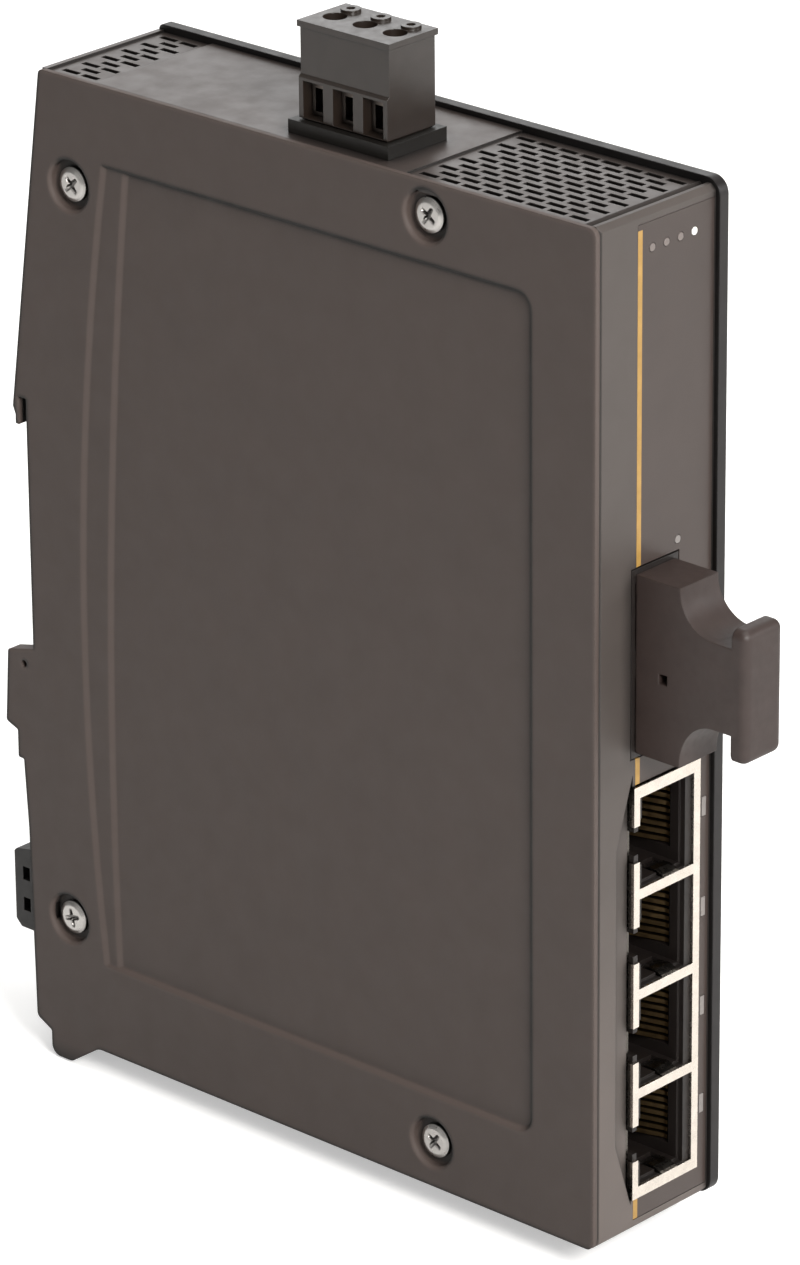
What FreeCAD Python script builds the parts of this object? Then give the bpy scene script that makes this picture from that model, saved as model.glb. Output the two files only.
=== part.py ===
import FreeCAD, Part
import math
import os

os.makedirs("parts", exist_ok=True)

V = FreeCAD.Vector

# The device hangs on a 35 mm top-hat rail. The origin is the middle of the rail seat:
# x runs across the narrow width, y from the front (minus) to the rail (plus), z up.

# ---------------------------------------------------------------- case
case_width = 24.0
case_height = 138.0
case_depth = 99.2               # front face to rail seat
rail_centre_height = 73.7       # rail centre line above the underside
wall = 2.0                      # chassis and bezel walls
cover_thickness = 2.0           # left cover
cover_skin = 0.8                # part of the left cover that laps over the chassis edges
plate_thickness = 1.6           # right cover
plate_proud = 0.7               # right cover stands this far past the top and the front
plate_proud_below = 0.3
plate_corner = 2.2
cover_corner = 1.2
fit_gap = 0.15                  # between parts that slip into each other
slide_gap = 0.1                 # between parts that slide on flat faces
shadow_groove = 0.7             # bevels of the seam between chassis and bezel
edge_groove = 0.4               # bevel of the bezel beside the left cover

# ---------------------------------------------------------------- rail side
rail_height = 35.0
rail_sheet = 1.0
rail_play = 0.25
rail_entry = 0.4                # room above the rail's upper edge in the hook
hook_overlap = 3.5              # how far the hook reaches down behind the rail
hook_reach = 2.3                # rear-most point of the hook, behind the seat
hook_tip_bevel = 0.45
seat_relief = 0.15              # the seat pad stands this far out of the rear wall
hook_foot_height = 1.1
top_setback = 4.3               # the rear edge leans forward to this at the top
nose_reach = 5.4                # guard nose of the covers below the rail
nose_ramp = 1.2
nose_length = 11.4
nose_step_depth = 2.1
nose_step_length = 4.0
tail_reach = 1.7                # rear edge of the covers below the nose
lobe_drop = 3.5                 # lobes of the covers on both sides of the latch foot
lobe_setback = 1.5
lobe_length = 3.8
lobe_ramp = 5.2

# ---------------------------------------------------------------- left cover relief
relief_depth = 0.6
relief_top_margin = 10.6
relief_bottom_margin = 13.0
relief_front_margin = 10.4
relief_rear_top_margin = 15.2
relief_rear_bottom_margin = 12.0
relief_bow = 4.1                # how far the rear end of the relief bows out
relief_inner_bow = 2.2          # bow of the deeper part of the relief
relief_land_top = 2.7           # ledge half way down behind the bow, at its upper and lower end
relief_land_bottom = 1.3
relief_bow_slope = 0.9          # width of each of the two slopes of the bow
relief_step = 0.5               # width of the steep step on the other sides
relief_corner = 2.4

# ---------------------------------------------------------------- cover screws
screw_front_inset = 27.8
screw_front_top_drop = 4.7
screw_front_rise = 6.2
screw_rear_inset = 7.4
screw_rear_top_drop = 14.8
screw_rear_rise = 17.9
screw_well_radius = 3.4
screw_well_depth = 1.4
screw_well_bevel = 0.35
plate_well_floor = 0.6          # what the wells leave of the right cover
screw_head_radius = 2.35
screw_head_height = 0.9
screw_shank_radius = 1.25
screw_hole_gap = 0.3
screw_length = 8.0
thread_gap = 0.05
boss_radius = 3.0
boss_rib = 2.4
boss_sides = 16
head_sides = 16

# ---------------------------------------------------------------- top and bottom vents
vent_recess = 0.3
vent_slot_width = 0.9
vent_slot_length = 2.8
vent_pitch_x = 1.8
vent_pitch_y = 3.5
vent_side_margin = 0.9
front_vent_length = 29.0
rear_vent_length = 8.8
floor_slot_width = 1.8
floor_slot_length = 14.0
floor_slot_pitch = 5.0

# ---------------------------------------------------------------- board
board_room = 16.7               # component side of the board to the right side of the case
board_thickness = 1.6
board_rear_gap = 13.0
board_edge_gap = 1.4
board_boss_gap = 1.0
lug_length = 6.0
lug_height = 7.0
lug_front_inset = 17.5
lug_rear_inset = 26.0
lug_jack_gap = 4.2
board_screw_radius = 1.0
board_screw_head = 1.9
board_screw_head_height = 1.3

# ---------------------------------------------------------------- parts on the board
chip_side = 14.0
chip_lead = 1.0
chip_height = 1.4
chip_lead_height = 0.5
chip_behind_jacks = 35.7
chip_below_jack_top = 8.3
sink_side = 15.0
sink_base = 1.8
sink_height = 9.0
fin_count = 6
fin_thickness = 1.0
magnetics_behind_jacks = 9.7
magnetics_depth = 7.6
magnetics_length = 16.0
magnetics_height = 6.0
magnetics_bevel = 1.0
choke_radius = 5.6
choke_bore = 2.4
choke_height = 5.5
choke_floor = 0.8
choke_gap = 1.5
fuse_depth = 3.5
fuse_length = 6.5
fuse_height = 2.0
fuse_gap = 4.2
capacitor_radius = 4.6
capacitor_height = 12.0
capacitor_pitch = 9.8
capacitor_gap = 5.4
capacitor_drop = 7.0
inductor_side = 10.0
inductor_height = 4.8
inductor_bevel = 1.2
inductor_gap = 8.4
controller_depth = 6.5
controller_length = 8.0
controller_height = 1.4
controller_gap = 1.0
memory_depth = 5.5
memory_length = 8.0
memory_height = 1.1
memory_gap = 4.9
crystal_length = 11.0
crystal_width = 4.4
crystal_height = 3.4
crystal_gap = 5.8
lamp_side = 1.6
lamp_height = 0.8

# ---------------------------------------------------------------- jack block
port_count = 4
port_pitch = 13.97
jack_width = 12.8
jack_depth = 18.0
jack_rise = 4.6                 # underside of the case to the block
jack_end_margin = 0.9
jack_proud = 0.35
shield_sheet = 0.4
shield_left_margin = 1.1
shield_right_margin = 1.25
shield_bar = 1.4
spring_tab_width = 3.0
spring_tab_length = 4.5
spring_tab_bulge = 0.6
key_height = 5.0
socket_height = 11.8            # along z, the wide side of the plug
socket_width = 7.8
socket_depth = 14.0
contact_pitch = 1.02
contact_width = 0.6
contact_count = 8
trough_width = 2.9
trough_depth = 0.7
trough_slope = 9.5

# ---------------------------------------------------------------- front film and light pipes
film_thickness = 0.25
film_gap = 0.06
film_left_shift = 0.5           # jack block's left side to the film's left edge
film_right_margin = 0.15
film_top_drop = 1.5
film_bottom_rise = 1.5
pipe_radius = 0.55
pipe_gap = 0.08
pipe_bar = 2.0
status_pipe_count = 4
status_first = 2.75             # film's left edge to the first window
status_pitch = 2.63
status_drop = 5.0
status_pipe_length = 7.6
fibre_pipe_shift = 4.3          # middle of the fibre port to its window
fibre_pipe_lift = 1.6
fibre_pipe_length = 6.6
port_pipe_inset = 2.8           # right side of the case to the middle of the windows
port_pipe_width = 0.8
port_pipe_height = 2.6
port_pipe_lift = 0.8
port_pipe_gap = 0.3
port_pipe_rail_depth = 9.0

# ---------------------------------------------------------------- fibre port and its cap
fibre_gap = 4.0                 # jack block to the fibre port
snout_height = 25.4
snout_width = 8.8
snout_length = 12.5
fibre_body_width = 11.8
fibre_body_length = 39.0
fibre_pitch = 12.7
fibre_hole_height = 9.2
fibre_hole_width = 7.5
sleeve_radius = 1.6
sleeve_bore = 0.9
sleeve_length = 9.0
cap_width = 8.2
cap_height = 24.0
cap_base_length = 7.1
cap_arc_radius = 5.4
cap_neck_length = 15.4
cap_bar_thickness = 2.9
cap_bar_height = 15.8
cap_post_side_gap = 0.35
cap_post_length = 10.0
cap_hole = 1.35
cap_edge = 1.2

# ---------------------------------------------------------------- power connector
pole_count = 3
pole_pitch = 5.08
power_inset = 44.6              # front face to the middle of the connector
header_margin = 0.7             # shroud past the plug on every side
header_wall = 0.9
header_rim_lip = 0.3
header_rim_height = 1.8
header_drop = 12.0
header_floor = 3.0
pin_side = 1.0
pin_tail = 8.0
pin_rise = 7.4
plug_left_inset = 3.5
plug_width = 8.8
plug_end_margin = 2.4
plug_height = 14.6              # above the top face of the case
plug_ledge = 0.4
plug_ledge_height = 7.6
plug_brim = 0.3
plug_brim_height = 0.8
plug_gap = 0.3
plug_float = 0.2                # plug body above the rim of the shroud
access_radius = 1.55
access_inset = 4.2
access_depth = 6.6
collar_radius = 1.3
collar_bore = 0.6
collar_height = 0.4
collar_inset = 1.7
window_width = 3.4
window_height = 4.8
window_depth = 5.5
window_frame = 0.7
clamp_setback = 1.6
clamp_sheet = 0.5
socket_side = 1.9
leaf_thickness = 0.3

# ---------------------------------------------------------------- rail latch
latch_travel = 5.0
latch_overlap = 2.1
latch_side_gap = 0.3            # latch and guides to the covers
latch_thickness = 2.5
flange_width = 1.5
flange_thickness = 1.2
guide_lip = 1.2
guide_thickness = 0.8
guide_top_rise = 45.0
guide_grip_gap = 5.5
guide_foot_rise = 1.0
guide_foot_gap = 0.6
jaw_thickness = 2.4
jaw_ramp = 2.0
jaw_height = 4.6
grip_top_rise = 23.9
grip_bottom_rise = 12.4
grip_reach = 7.2
grip_window = 1.3
grip_bevel = 1.0
foot_drop = 3.2
foot_length = 11.3
spring_length = 12.0
spring_radius = 1.45
spring_wire = 0.5
spring_turns = 5
ledge_height = 1.5
ledge_rise = 27.2

# ---------------------------------------------------------------- derived planes
left_x = -case_width / 2
right_x = case_width / 2
front_y = -case_depth
bottom_z = -rail_centre_height
top_z = bottom_z + case_height
chassis_left_x = left_x + cover_skin
chassis_right_x = right_x - plate_thickness
cover_inner_x = left_x + cover_thickness
bezel_back_y = front_y + wall
ceiling_z = top_z - wall
floor_z = bottom_z + wall
rear_inner_y = -wall - seat_relief
slot_top_z = rail_height / 2 + rail_entry
hook_tip_z = rail_height / 2 - hook_overlap
hook_front_y = rail_sheet + rail_play
recess_bottom_z = -rail_height / 2 - rail_entry + 0.1
board_face_x = right_x - board_room
board_back_x = board_face_x - board_thickness
board_front_y = bezel_back_y + 0.4
board_rear_y = -board_rear_gap
board_top_z = ceiling_z - board_edge_gap
board_bottom_z = floor_z + board_edge_gap
jack_left_x = board_face_x
jack_right_x = jack_left_x + jack_width
jack_front_y = front_y - jack_proud
jack_back_y = jack_front_y + jack_depth
jack_bottom_z = bottom_z + jack_rise
jack_top_z = jack_bottom_z + port_count * port_pitch + 2 * jack_end_margin
port_zs = [jack_top_z - jack_end_margin - (i + 0.5) * port_pitch for i in range(port_count)]
fibre_z = jack_top_z + fibre_gap + snout_height / 2
cap_x = board_face_x - 0.3 + snout_width / 2
fibre_zs = [fibre_z - fibre_pitch / 2, fibre_z + fibre_pitch / 2]
power_y = front_y + power_inset
pole_ys = [power_y + (i - (pole_count - 1) / 2) * pole_pitch for i in range(pole_count)]
header_bottom_z = top_z - header_drop
header_top_z = top_z + header_rim_height
header_floor_z = header_bottom_z + header_floor
pin_x = board_face_x + pin_side / 2
plug_left_x = left_x + plug_left_inset
plug_right_x = plug_left_x + plug_width
plug_half = (pole_count - 1) / 2 * pole_pitch + plug_end_margin
plug_top_z = top_z + plug_height
plug_base_z = header_top_z + plug_float
window_low_z = top_z + plug_ledge_height - window_frame - window_height
header_left_x = plug_left_x - header_margin
header_right_x = plug_right_x + header_margin
header_half = plug_half + header_margin
film_left_x = jack_left_x + film_left_shift
film_right_x = chassis_right_x - film_right_margin
port_pipe_x = right_x - port_pipe_inset
choke_z = header_bottom_z - pin_tail - choke_gap - choke_radius
capacitor_z = choke_z - capacitor_drop
inductor_z = capacitor_z - capacitor_radius - inductor_gap - inductor_side / 2
inductor_y = power_y + choke_radius + capacitor_gap + capacitor_radius + capacitor_pitch
chip_y = jack_back_y + chip_behind_jacks
chip_z = jack_top_z - chip_below_jack_top
latch_front_y = -seat_relief + slide_gap
latch_back_y = latch_front_y + latch_thickness
jaw_top_z = -rail_height / 2 + latch_overlap
ledge_z = bottom_z + ledge_rise
guide_half_width = -cover_inner_x - latch_side_gap
grip_half_width = guide_half_width - slide_gap
flange_half_width = guide_half_width - guide_thickness - slide_gap
latch_half_width = flange_half_width - flange_width
spring_y = latch_front_y + spring_radius + spring_wire / 2 + 0.1

screw_places = [
    (front_y + screw_front_inset, top_z - screw_front_top_drop),
    (front_y + screw_front_inset, bottom_z + screw_front_rise),
    (-screw_rear_inset - 1.8, top_z - screw_rear_top_drop),
    (-screw_rear_inset + 1.9, bottom_z + screw_rear_rise),
]

lug_places = [
    (front_y + lug_front_inset, ceiling_z - lug_height / 2, 1),
    (-lug_rear_inset, ceiling_z - lug_height / 2, 1),
    (jack_back_y + lug_jack_gap, floor_z + lug_height / 2, -1),
    (-lug_rear_inset, floor_z + lug_height / 2, -1),
]
lug_left_x = cover_inner_x + 0.2


# ---------------------------------------------------------------- drawing helpers
def space_point(axis, level, a, b):
    """Point at a level along an axis; a and b follow the other two axes in order."""
    if axis == "x":
        return V(level, a, b)
    if axis == "y":
        return V(a, level, b)
    return V(a, b, level)


def closed_wire(axis, level, corners):
    """Closed wire through (a, b) or (a, b, radius) corners, rounded where a radius is given."""
    spots = [space_point(axis, level, c[0], c[1]) for c in corners]
    radii = [c[2] if len(c) > 2 else 0.0 for c in corners]
    count = len(spots)
    arcs = []
    for i in range(count):
        spot = spots[i]
        back = (spots[i - 1] - spot).normalize()
        ahead = (spots[(i + 1) % count] - spot).normalize()
        if radii[i] <= 0:
            arcs.append((spot, spot, spot))
            continue
        half = back.getAngle(ahead) / 2
        reach = radii[i] / math.tan(half)
        middle = (back + ahead).normalize() * (radii[i] / math.sin(half) - radii[i])
        arcs.append((spot + back * reach, spot + middle, spot + ahead * reach))
    edges = []
    for i in range(count):
        start, middle, end = arcs[i]
        if start.distanceToPoint(end) > 1e-6:
            edges.append(Part.Arc(start, middle, end).toShape())
        following = arcs[(i + 1) % count][0]
        if end.distanceToPoint(following) > 1e-6:
            edges.append(Part.makeLine(end, following))
    return Part.Wire(edges)


def prism(axis, corners, low, high):
    """Solid between two levels of an axis over a closed outline."""
    face = Part.Face(closed_wire(axis, low, corners))
    return face.extrude(space_point(axis, high - low, 0, 0))


def box(x, y, z):
    """Block between (low, high) limits on each axis."""
    return Part.makeBox(x[1] - x[0], y[1] - y[0], z[1] - z[0], V(x[0], y[0], z[0]))


def rod(axis, a, b, radius, low, high):
    """Round bar along an axis; a and b follow the other two axes in order."""
    start = space_point(axis, low, a, b)
    return Part.makeCylinder(radius, high - low, start, space_point(axis, 1, 0, 0))


def small_rod(axis, a, b, radius, low, high):
    """Eight-sided bar for small light pipes and for shanks and pilot holes; threads are left out."""
    return sided_rod(axis, a, b, radius, low, high, 8)


def sided_rod(axis, a, b, radius, low, high, sides):
    """Nearly round bar with flat sides, for small or repeated round features."""
    corners = []
    for i in range(sides):
        angle = 2 * math.pi / sides * (i + 0.5)
        corners.append((a + radius * math.cos(angle), b + radius * math.sin(angle)))
    return prism(axis, corners, low, high)


def around(centre, half):
    """Limits at equal distance on both sides of a centre."""
    return (centre - half, centre + half)


def join(shapes):
    """One clean solid from parts that meet."""
    whole = shapes[0].fuse(shapes[1:])
    return whole.removeSplitter()


def write(name, shape):
    """Write one node as its own STEP file."""
    shape.exportStep("parts/" + name + ".step")


# ---------------------------------------------------------------- case pieces
def hook_corners():
    """Rear edge from the top of the case down to the root of the hook slot."""
    back_z = rail_height / 2 - hook_foot_height
    tip_y = hook_reach - hook_tip_bevel
    return [
        (-top_setback, top_z),
        (hook_reach, back_z),
        (tip_y, back_z - hook_foot_height),
        (tip_y, hook_tip_z),
        (hook_front_y, hook_tip_z),
        (hook_front_y, slot_top_z),
        (-seat_relief, slot_top_z),
    ]


def cover_outline(proud, proud_below, corner):
    """Side view of a cover: straight front, leaning rear edge, rail recess, nose and tail."""
    nose_z = recess_bottom_z - nose_ramp
    step_z = nose_z - nose_length
    rear = hook_corners()
    rear[0] = (-top_setback, top_z + proud, 0.8)
    rear[1] = (rear[1][0], rear[1][1], 0.4)
    edge_z = bottom_z - proud_below
    return [
        (front_y - proud, edge_z, corner),
        (front_y - proud, top_z + proud, corner),
    ] + rear + [
        (-seat_relief, recess_bottom_z),
        (nose_reach - 0.7, nose_z, 0.5),
        (nose_reach, step_z + 0.8, 0.5),
        (nose_reach - nose_step_depth, step_z, 0.3),
        (nose_reach - nose_step_depth, step_z - nose_step_length, 0.3),
        (tail_reach + 0.6, step_z - nose_step_length, 0.3),
        (tail_reach, step_z - 3.5 * nose_step_length),
        (tail_reach - 0.5, edge_z + 1.4, 1.0),
        (-lobe_setback, edge_z, 0.3),
        (-lobe_setback, edge_z - lobe_drop, 1.5),
        (-lobe_setback - lobe_length, edge_z - lobe_drop, 1.5),
        (-lobe_setback - lobe_length - lobe_ramp, edge_z, 2.0),
    ]


def inner_outline(gap):
    """Inside of the chassis walls in side view, kept a gap away from them."""
    return [
        (bezel_back_y + gap, floor_z + gap),
        (bezel_back_y + gap, ceiling_z - gap),
        (-top_setback - wall - 0.1 - gap, ceiling_z - gap),
        (rear_inner_y - gap, slot_top_z + 6 * wall),
        (rear_inner_y - gap, floor_z + gap),
    ]


def relief_wire(level, inset, rear_insets, bow):
    """Outline of the sunk panel: three straight sides and a bowed rear end."""
    front = front_y + relief_front_margin + inset
    rear_top = -relief_rear_top_margin - rear_insets[0]
    rear_bottom = -relief_rear_bottom_margin - rear_insets[1]
    top = top_z - relief_top_margin - inset
    bottom = bottom_z + relief_bottom_margin + inset
    middle = (top + bottom) / 2
    corner = relief_corner - inset
    turn = corner * (1 - math.sqrt(0.5))
    spots = [
        (rear_top, top),
        (front + corner, top),
        (front + turn, top - turn),
        (front, top - corner),
        (front, bottom + corner),
        (front + turn, bottom + turn),
        (front + corner, bottom),
        (rear_bottom, bottom),
        ((rear_top + rear_bottom) / 2 + bow, middle),
    ]
    p = [V(level, y, z) for y, z in spots]
    return Part.Wire([
        Part.makeLine(p[0], p[1]),
        Part.Arc(p[1], p[2], p[3]).toShape(),
        Part.makeLine(p[3], p[4]),
        Part.Arc(p[4], p[5], p[6]).toShape(),
        Part.makeLine(p[6], p[7]),
        Part.Arc(p[7], p[8], p[0]).toShape(),
    ])


def relief_cut():
    """Sunk panel of the left cover: steep sides, and two slopes with a ledge at its bowed end."""
    half_x = left_x + relief_depth / 2
    half_step = relief_step / 2
    slope = relief_bow_slope
    land = (slope + relief_land_top, slope + relief_land_bottom)
    foot = (land[0] + slope, land[1] + slope)
    upper = [
        relief_wire(left_x, 0.0, (0.0, 0.0), relief_bow),
        relief_wire(half_x, half_step, (slope, slope), relief_bow),
    ]
    lower = [
        relief_wire(half_x, half_step, land, relief_inner_bow),
        relief_wire(left_x + relief_depth, relief_step, foot, relief_inner_bow),
    ]
    return Part.makeLoft(upper, True, True).fuse(Part.makeLoft(lower, True, True))


def screw_well(y, z, face_x, outward, depth):
    """Cutter for a round well; outward is -1 on the left side."""
    low, high = sorted((face_x - outward * depth, face_x + outward))
    return rod("x", y, z, screw_well_radius, low, high)


def bevelled_well(y, z, face_x, outward, depth):
    """Cutter for a round well with a bevelled mouth."""
    well = screw_well(y, z, face_x, outward, depth)
    mouth = Part.makeCone(screw_well_radius, screw_well_radius + 2 * screw_well_bevel,
                          2 * screw_well_bevel, V(face_x - outward * screw_well_bevel, y, z),
                          V(outward, 0, 0))
    return well.fuse(mouth)


def make_left_cover():
    """Left cover: a skin over the chassis edges, a pad inside them and a guard nose."""
    skin = prism("x", cover_outline(0.0, 0.0, cover_corner), left_x, chassis_left_x)
    pad = prism("x", inner_outline(fit_gap), chassis_left_x, cover_inner_x)
    wing = prism("x", cover_outline(0.0, 0.0, cover_corner), chassis_left_x, cover_inner_x)
    keep_y = (-seat_relief + slide_gap, nose_reach + 1)
    lobe = wing.common(box((left_x, right_x), (front_y, nose_reach), (bottom_z - lobe_drop, bottom_z)))
    wing = wing.common(box((left_x, right_x), keep_y, (bottom_z, recess_bottom_z)))
    cover = join([skin, pad, wing, lobe]).cut(relief_cut())
    for y, z in screw_places:
        cover = cover.cut(bevelled_well(y, z, left_x, -1, screw_well_depth))
        cover = cover.cut(small_rod("x", y, z, screw_shank_radius + screw_hole_gap, left_x, cover_inner_x + 1))
    pin_hole = rod("x", 1.7, recess_bottom_z - 2.6, 0.5, left_x - 1, left_x + 1.2)
    return cover.cut(pin_hole)


def make_right_cover():
    """Right cover: a plain plate standing slightly past the top, the front and the underside."""
    outline = cover_outline(plate_proud, plate_proud_below, plate_corner)
    plate = prism("x", outline, chassis_right_x, right_x)
    depth = plate_thickness - plate_well_floor
    for y, z in screw_places:
        plate = plate.cut(screw_well(y, z, right_x, 1, depth))
        plate = plate.cut(small_rod("x", y, z, screw_shank_radius + screw_hole_gap, chassis_right_x - 1, right_x))
    return plate


def top_vent(start_y, length):
    """Sunk field in the top wall with staggered rows of short slots, between two y limits."""
    cuts = [box((chassis_left_x - 1, chassis_right_x + 1), (start_y, start_y + length),
                (top_z - vent_recess, top_z + 1))]
    room = chassis_right_x - chassis_left_x - 2 * vent_side_margin - vent_slot_width
    columns = int(room / vent_pitch_x) + 1
    rows = int(length / vent_pitch_y)
    middle_x = (chassis_left_x + chassis_right_x) / 2
    middle_y = start_y + length / 2
    for column in range(columns):
        x = middle_x + (column - (columns - 1) / 2) * vent_pitch_x
        slots = rows - column % 2
        for i in range(slots):
            y = middle_y + (i - (slots - 1) / 2) * vent_pitch_y
            cuts.append(box(around(x, vent_slot_width / 2), around(y, vent_slot_length / 2),
                            (ceiling_z - 0.5, top_z)))
    return cuts


def floor_slots():
    """Air inlet slots across the bottom wall, clear of the screw boss and the lugs."""
    cuts = []
    middle_x = (chassis_left_x + chassis_right_x) / 2 + 1.0
    count = int((case_depth - 2 * floor_slot_length) / floor_slot_pitch)
    for i in range(count):
        y = -floor_slot_length + 1 - i * floor_slot_pitch
        half = floor_slot_width / 2
        boss_clear = abs(y - screw_places[1][0]) > boss_radius + half + 0.5
        lug_clear = all(abs(y - lug[0]) > lug_length / 2 + half + 0.5 for lug in lug_places[2:])
        if boss_clear and lug_clear:
            long_x = around(middle_x, floor_slot_length / 2)
            cuts.append(box(long_x, around(y, half), (bottom_z - 1, floor_z + 1)))
    return cuts


def latch_guides():
    """Two pairs of hooked strips on the rear wall that hold the latch by its flanges."""
    strips = []
    lip_y = latch_front_y + flange_thickness + slide_gap
    spans = [
        (grip_top_rise + guide_grip_gap, guide_top_rise),
        (guide_foot_rise, grip_bottom_rise - latch_travel - guide_foot_gap),
    ]
    for low, high in spans:
        z = (bottom_z + low, bottom_z + high)
        for side in (-1, 1):
            outer = guide_half_width
            inner = outer - guide_thickness
            web = sorted((side * inner, side * outer))
            lip = sorted((side * (flange_half_width - guide_lip), side * outer))
            strips.append(box(web, (-seat_relief - 0.2, lip_y + guide_thickness), z))
            strips.append(box(lip, (lip_y, lip_y + guide_thickness), z))
    return strips


def make_chassis():
    """Top, rear and bottom wall in one: rail hook, seat pad, screw bosses, lugs and vents."""
    pad_top = hook_tip_z - 0.3
    pad_bottom = jaw_top_z + 0.4
    outer = [(bezel_back_y, bottom_z), (bezel_back_y, top_z)] + hook_corners() + [
        (-seat_relief, pad_top),
        (0.0, pad_top),
        (0.0, pad_bottom),
        (-seat_relief, pad_bottom),
        (-seat_relief, bottom_z),
    ]
    shell = prism("x", outer, chassis_left_x, chassis_right_x)
    hollow = inner_outline(0.0)
    hollow[0] = (bezel_back_y - 1, floor_z)
    hollow[1] = (bezel_back_y - 1, ceiling_z)
    shell = shell.cut(prism("x", hollow, chassis_left_x - 1, chassis_right_x + 1))
    solids = [shell]
    for y, z in screw_places:
        solids.append(sided_rod("x", y, z, boss_radius, cover_inner_x, chassis_right_x, boss_sides))
    long_x = (cover_inner_x, chassis_right_x)
    rib = boss_rib / 2
    solids.append(box(long_x, around(screw_places[1][0], rib), (floor_z - 0.5, screw_places[1][1])))
    for y, z in screw_places[2:]:
        solids.append(box(long_x, (y, rear_inner_y + 0.2), around(z, rib)))
    lug_x = (lug_left_x, board_back_x)
    for y, z, side in lug_places:
        edge = z + side * (lug_height / 2 + 0.5)
        inner = z - side * lug_height / 2
        solids.append(box(lug_x, around(y, lug_length / 2), sorted((edge, inner))))
    ledge_y = (-seat_relief - 0.2, spring_y + spring_radius)
    solids.append(box(around(0, spring_radius + 0.45), ledge_y, (ledge_z - ledge_height, ledge_z)))
    chassis = join(solids + latch_guides())
    cuts = []
    for y, z in screw_places:
        radius = screw_shank_radius + thread_gap
        cuts.append(small_rod("x", y, z, radius, cover_inner_x - 1, cover_inner_x + screw_length))
        cuts.append(small_rod("x", y, z, radius, chassis_right_x - screw_length, chassis_right_x + 1))
    for y, z, side in lug_places:
        radius = board_screw_radius + thread_gap
        cuts.append(small_rod("x", y, z, radius, lug_left_x + 0.4, board_back_x + 1))
    cuts += top_vent(bezel_back_y + 0.6, front_vent_length)
    cuts += top_vent(-top_setback - rear_vent_length - 0.8, rear_vent_length)
    cuts += floor_slots()
    opening_x = (header_left_x - fit_gap, header_right_x + fit_gap)
    opening_y = around(power_y, header_half + fit_gap)
    cuts.append(box(opening_x, opening_y, (ceiling_z - 1, top_z + 1)))
    edge = shadow_groove
    for z, step in ((top_z, -1), (bottom_z, 1)):
        bevel = [(bezel_back_y - 0.01, z), (bezel_back_y + edge, z), (bezel_back_y - 0.01, z + step * edge)]
        cuts.append(prism("x", bevel, chassis_left_x - 1, chassis_right_x + 1))
    return chassis.cut(Part.makeCompound(cuts))


def trough_outline(grow):
    """Finger recess beside the jack block: narrow ends that slope into a straight middle."""
    right = jack_left_x - fit_gap + grow
    left = right - trough_width - grow
    low = jack_bottom_z - 0.8
    high = jack_top_z + 1.8
    return [
        (right, low),
        (left, low + trough_slope),
        (left, high - trough_slope),
        (right, high),
    ]


def film_limits(gap):
    """Limits in x and z of the shallow pocket for the front film."""
    return (
        (film_left_x + gap, film_right_x - gap),
        (bottom_z + film_bottom_rise + gap, top_z - film_top_drop - gap),
    )


def status_pipe_places():
    """x and z of the row of status windows."""
    z = top_z - status_drop
    return [(film_left_x + status_first + i * status_pitch, z) for i in range(status_pipe_count)]


def fibre_pipe_place():
    """x and z of the link window above the fibre port."""
    return (cap_x + fibre_pipe_shift, fibre_z + snout_height / 2 + fibre_pipe_lift)


def front_openings(gap):
    """Cutters through the front for jack block, fibre port and light pipes."""
    deep = (front_y - 1, bezel_back_y + 1)
    snout = snout_limits(gap)
    cuts = [
        box((jack_left_x - gap, jack_right_x + gap), deep, (jack_bottom_z - gap, jack_top_z + gap)),
        box(snout[0], deep, snout[1]),
    ]
    for x, z in status_pipe_places() + [fibre_pipe_place()]:
        cuts.append(small_rod("y", x, z, pipe_radius + pipe_gap, deep[0], deep[1]))
    for z in port_zs:
        half_x = port_pipe_width / 2 + pipe_gap
        half_z = port_pipe_height / 2 + pipe_gap
        cuts.append(box(around(port_pipe_x, half_x), deep, around(z + port_pipe_lift, half_z)))
    return cuts


def make_front_bezel():
    """Front wall with the film pocket, the finger recess, its openings and two snap tabs."""
    bevel = shadow_groove
    side = [
        (front_y, bottom_z + bevel),
        (front_y, top_z - bevel),
        (front_y + bevel, top_z),
        (bezel_back_y - bevel, top_z),
        (bezel_back_y, top_z - bevel),
        (bezel_back_y, bottom_z + bevel),
        (bezel_back_y - bevel, bottom_z),
        (front_y + bevel, bottom_z),
    ]
    bezel = prism("x", side, chassis_left_x, chassis_right_x)
    tab_x = around(left_x + case_width * 0.5, 4.0)
    tab_y = (bezel_back_y - 0.5, bezel_back_y + 3.6)
    tabs = [
        box(tab_x, tab_y, (ceiling_z - 1.3, ceiling_z - fit_gap)),
        box(tab_x, tab_y, (floor_z + fit_gap, floor_z + 1.3)),
    ]
    bezel = join([bezel] + tabs)
    film_x, film_z = film_limits(0.0)
    cuts = [box(film_x, (front_y - 1, front_y + film_thickness + 0.03), film_z)]
    cuts.append(prism("y", trough_outline(0.2), front_y - 1, front_y + trough_depth))
    cuts += front_openings(fit_gap)
    corner = [
        (chassis_left_x - 0.01, front_y - 0.01),
        (chassis_left_x + edge_groove, front_y - 0.01),
        (chassis_left_x - 0.01, front_y + edge_groove),
    ]
    cuts.append(prism("z", corner, bottom_z - 1, top_z + 1))
    return bezel.cut(Part.makeCompound(cuts))


def make_front_film():
    """Thin printed film laid into the pocket of the bezel."""
    film_x, film_z = film_limits(film_gap)
    film = box(film_x, (front_y + 0.03, front_y + 0.03 + film_thickness), film_z)
    cuts = front_openings(fit_gap + film_gap)
    cuts.append(prism("y", trough_outline(0.2 + film_gap), front_y - 1, front_y + trough_depth))
    return film.cut(Part.makeCompound(cuts))


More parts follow.
